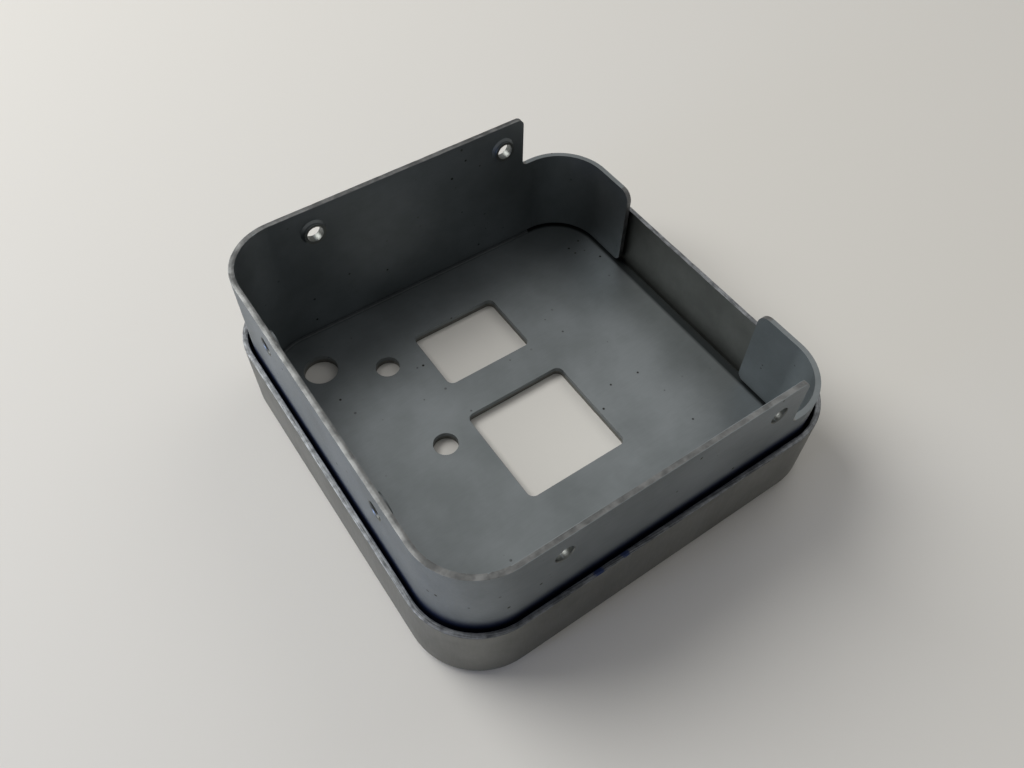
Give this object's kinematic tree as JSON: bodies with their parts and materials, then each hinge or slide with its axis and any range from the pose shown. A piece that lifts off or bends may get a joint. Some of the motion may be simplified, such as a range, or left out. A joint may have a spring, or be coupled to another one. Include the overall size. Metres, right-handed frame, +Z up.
{
  "type": "sheet metal chassis",
  "caption": "Pressed steel box, open on one side, with stepped walls, floor windows and drawn wall holes, in a shallow pressed tray.",
  "frame": {"origin": "on the surface that the tray stands on, under the middle of the chassis", "axes": "+X towards the open side, +Y towards the back wall, +Z up"},
  "size_m": [0.0834, 0.0824, 0.0334],
  "materials": {
    "chassis_steel": "zinc plated, matt",
    "tray_steel": "bare pressed, dull"
  },
  "bodies": {
    "root": {"inner_chassis": "chassis_steel", "outer_tray": "tray_steel"}
  },
  "joints": []
}
